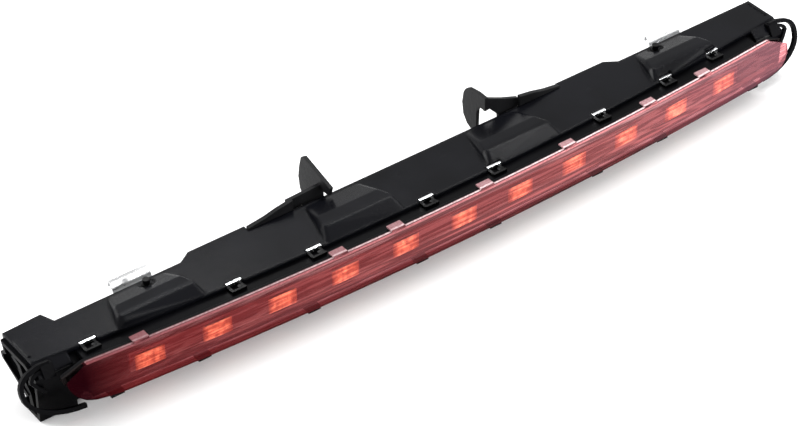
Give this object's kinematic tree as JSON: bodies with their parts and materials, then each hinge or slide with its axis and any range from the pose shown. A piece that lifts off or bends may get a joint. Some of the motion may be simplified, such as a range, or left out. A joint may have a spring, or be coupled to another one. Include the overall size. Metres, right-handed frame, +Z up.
{
  "type": "third brake light",
  "caption": "Long bowed high-mounted stop lamp with a red lens over a row of light cells, a black ribbed carrier, spring clips and snap hooks.",
  "frame": {"origin": "under the middle of the whole lamp, at the height of the end caps' feet", "axes": "+X along the lamp, towards its right end; +Y to the rear, away from the lens; +Z up"},
  "size_m": [0.486, 0.0762, 0.0455],
  "materials": {
    "red_lens": "clear red polycarbonate, gloss",
    "foam": "closed-cell foam",
    "black_plastic": "fine moulded texture",
    "cover_plastic": "satin, fine grain",
    "reflector": "metallised plastic",
    "board": "solder mask",
    "led_body": "moulded diode",
    "black_part": "moulded electronic part",
    "nylon": "natural nylon",
    "lead_red": "insulation",
    "lead_brown": "insulation",
    "contact_brass": "plated contact",
    "spring_steel": "bright zinc plating",
    "hook_plastic": "rough moulded",
    "gloss_black": "polished edges",
    "bright_bar": "polished wire",
    "screw_steel": "zinc plated"
  },
  "bodies": {
    "lamp": {"lens": "red_lens", "lens_seal": "foam", "lamp_housing": "black_plastic", "reflector": "reflector", "circuit_board": "board", "leds": "led_body", "led_resistors": "black_part", "current_regulators": "black_part", "polarity_diode": "black_part", "board_connector": "nylon", "positive_lead": "lead_red", "ground_lead": "lead_brown", "socket_body": "black_plastic", "contact_pins": "contact_brass", "carrier": "black_plastic", "top_cover": "cover_plastic", "left_end_cap": "black_plastic", "right_end_cap": "black_plastic", "left_hoop": "black_plastic", "right_hoop": "black_plastic", "left_clip_base": "spring_steel", "right_clip_base": "spring_steel", "left_hook_base": "hook_plastic", "right_hook_base": "hook_plastic", "latch_catches": "gloss_black", "cover_screws": "screw_steel", "board_screws": "screw_steel", "locating_pegs": "gloss_black", "latch_bars": "bright_bar"},
    "left_tongue": {"left_clip_tongue": "spring_steel"},
    "right_tongue": {"right_clip_tongue": "spring_steel"},
    "left_hook": {"left_hook_arm": "hook_plastic"},
    "right_hook": {"right_hook_arm": "hook_plastic"}
  },
  "joints": [
    {"name": "left_tongue_flex", "type": "hinge", "parent": "lamp", "child": "left_tongue", "pos_m": [-0.162, 0.0176, 0.0234], "axis": [1, 0, 0], "range_deg": [-3, 10], "stiffness_Nm_per_rad": 0.6},
    {"name": "right_tongue_flex", "type": "hinge", "parent": "lamp", "child": "right_tongue", "pos_m": [0.176, 0.0176, 0.0234], "axis": [1, 0, 0], "range_deg": [-3, 10], "stiffness_Nm_per_rad": 0.6},
    {"name": "left_hook_flex", "type": "hinge", "parent": "lamp", "child": "left_hook", "pos_m": [-0.067, 0.0197, 0.0215], "axis": [0, 0, 1], "range_deg": [-7, 5], "stiffness_Nm_per_rad": 0.8},
    {"name": "right_hook_flex", "type": "hinge", "parent": "lamp", "child": "right_hook", "pos_m": [0.067, 0.0197, 0.0215], "axis": [0, 0, 1], "range_deg": [-5, 7], "stiffness_Nm_per_rad": 0.8}
  ]
}
